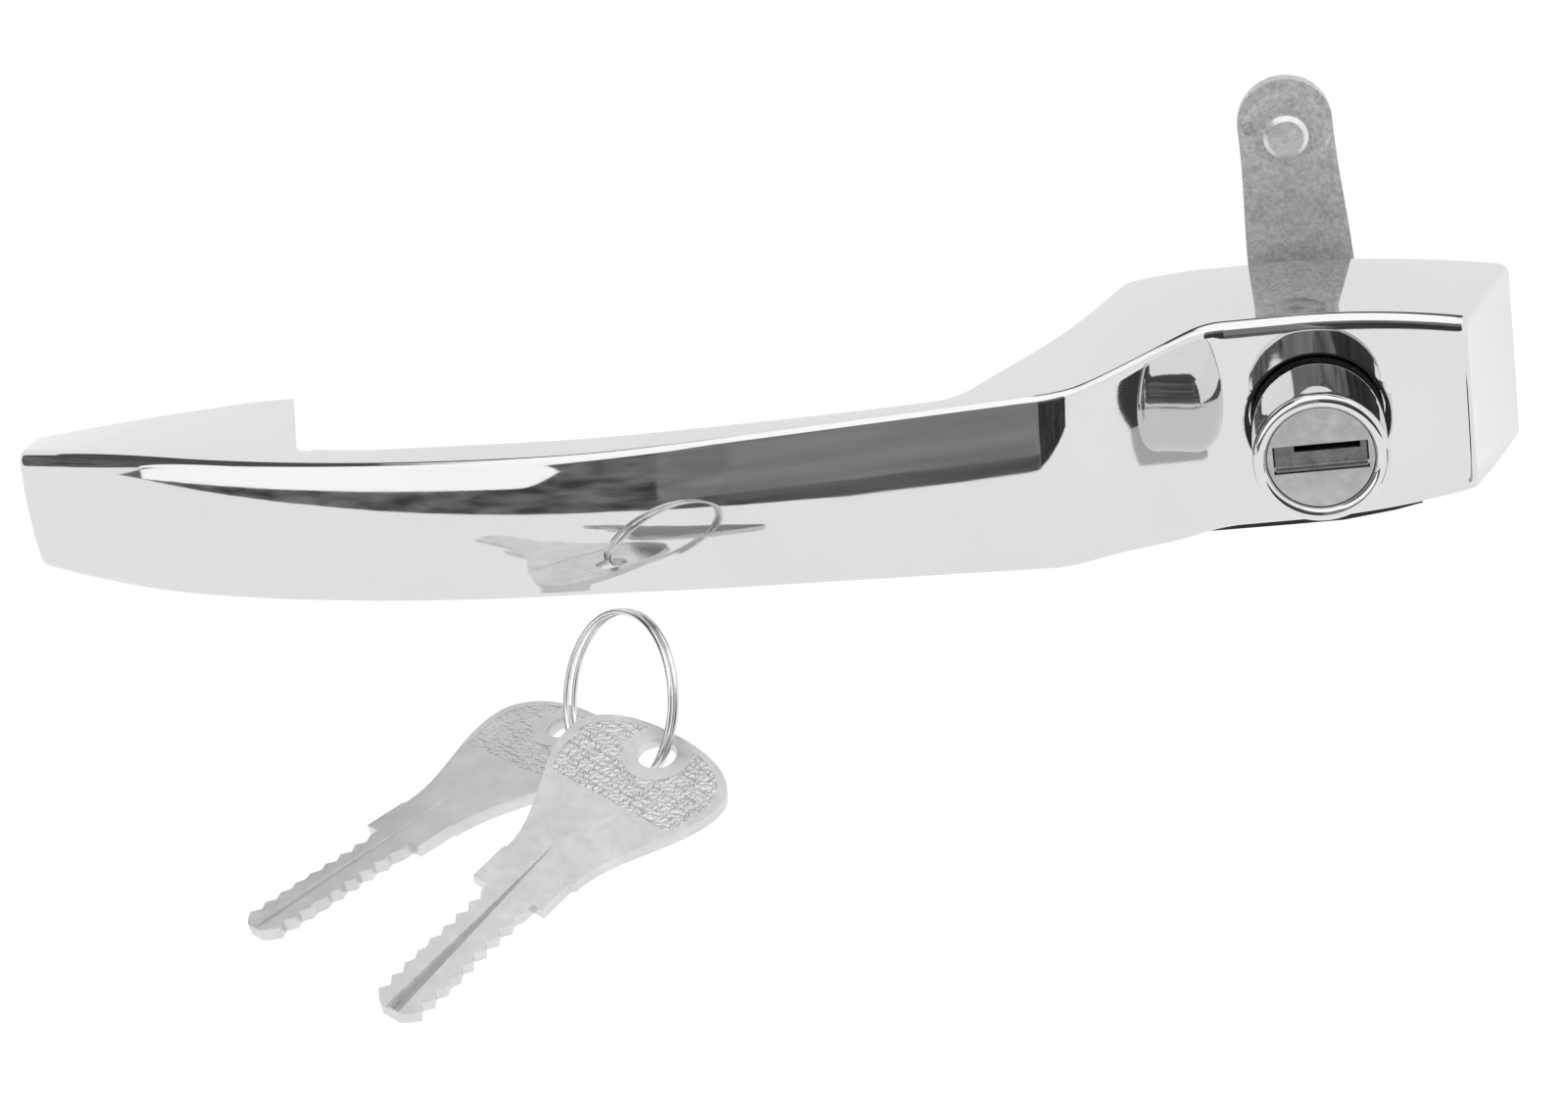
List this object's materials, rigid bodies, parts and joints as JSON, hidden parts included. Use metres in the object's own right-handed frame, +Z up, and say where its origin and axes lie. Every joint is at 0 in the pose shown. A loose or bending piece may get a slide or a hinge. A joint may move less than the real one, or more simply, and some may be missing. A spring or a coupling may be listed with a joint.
{
  "type": "car door handle",
  "caption": "Chrome exterior car door handle: fixed curved pull, lockable push button, release lever with roller, and keys on a split ring.",
  "frame": {"origin": "midway between the two fixing screw holes, on the plane where the handle meets the door skin", "axes": "+X along the handle towards the lock, +Y from the handle into the door along the fixing screws, +Z up when mounted"},
  "size_m": [0.2663, 0.1504, 0.0926],
  "materials": {
    "chrome_plate": "polished chrome plating",
    "die_cast_zinc": "bare zinc die casting, satin",
    "zinc_plated_steel": "matt mottled zinc plating",
    "bright_steel": "bright rolled steel",
    "spring_steel": "drawn spring wire",
    "core_plate": "bright plated lock face",
    "nickel_key": "nickel plated, embossed head",
    "ring_wire": "polished wire",
    "wafer_brass": "stamped brass",
    "seal_rubber": "black rubber",
    "roller_nylon": "natural nylon"
  },
  "bodies": {
    "handle": {"handle_body": "chrome_plate", "button_seal": "seal_rubber", "back_plate": "zinc_plated_steel", "plate_screws": "bright_steel", "pivot_pin": "bright_steel", "pin_clips": "spring_steel", "lever_spring": "spring_steel", "return_spring": "spring_steel"},
    "button": {"button_sleeve": "chrome_plate", "lock_barrel": "die_cast_zinc", "retaining_clip": "spring_steel"},
    "core": {"lock_core": "core_plate", "shutter_pin": "bright_steel", "tail_cam": "die_cast_zinc", "cam_screw": "bright_steel"},
    "shutter": {"key_shutter": "spring_steel"},
    "wafers": {"wafer_tumblers": "wafer_brass"},
    "lever": {"release_lever": "zinc_plated_steel", "lever_rivet": "bright_steel", "roller_washer": "bright_steel"},
    "roller": {"lever_roller": "roller_nylon"},
    "ring": {"key_ring": "ring_wire"},
    "front_key": {"key_front": "nickel_key"},
    "back_key": {"key_back": "nickel_key"}
  },
  "joints": [
    {"name": "button_push", "type": "slide", "parent": "handle", "child": "button", "axis": [0, 1, 0], "range_m": [0, 0.005], "stiffness_N_per_m": 1500, "springref_m": -0.004, "deforming": ["return_spring"]},
    {"name": "core_turn", "type": "hinge", "parent": "button", "child": "core", "pos_m": [0.091, -0.03, 0], "axis": [0, 1, 0], "range_deg": [0, 90]},
    {"name": "shutter_swing", "type": "hinge", "parent": "core", "child": "shutter", "pos_m": [0.091, -0.0379, -0.0019], "axis": [-1, 0, 0], "range_deg": [0, 75], "stiffness_Nm_per_rad": 0.002, "springref_deg": -11.46},
    {"name": "wafer_slide", "type": "slide", "parent": "core", "child": "wafers", "axis": [0, 0, 1], "range_m": [0, 0.0005], "stiffness_N_per_m": 300, "springref_m": -0.001},
    {"name": "lever_swing", "type": "hinge", "parent": "handle", "child": "lever", "pos_m": [0.091, 0.011, -0.01], "axis": [-1, 0, 0], "range_deg": [0, 17.5], "stiffness_Nm_per_rad": 0.05, "springref_deg": -17.19, "deforming": ["lever_spring"]},
    {"name": "roller_spin", "type": "hinge", "parent": "lever", "child": "roller", "pos_m": [0.0898, 0.0109, 0.0422], "axis": [0, 1, 0], "continuous": true},
    {"name": "ring_lift", "type": "slide", "parent": "handle", "child": "ring", "axis": [0, 0, 1], "range_m": [0, 0.08]},
    {"name": "front_key_turn", "type": "hinge", "parent": "ring", "child": "front_key", "pos_m": [-0.02081, -0.08299, -0.02353], "axis": [0.0723, -0.336, 0.9391], "range_deg": [-12, 12]},
    {"name": "back_key_turn", "type": "hinge", "parent": "ring", "child": "back_key", "pos_m": [-0.03843, -0.06539, -0.02608], "axis": [-0.1159, -0.0785, 0.9902], "range_deg": [-12, 12]}
  ],
  "couplings": [
    {"joint": "lever_swing", "follows": "button_push", "rad_per_m": 59.34}
  ]
}
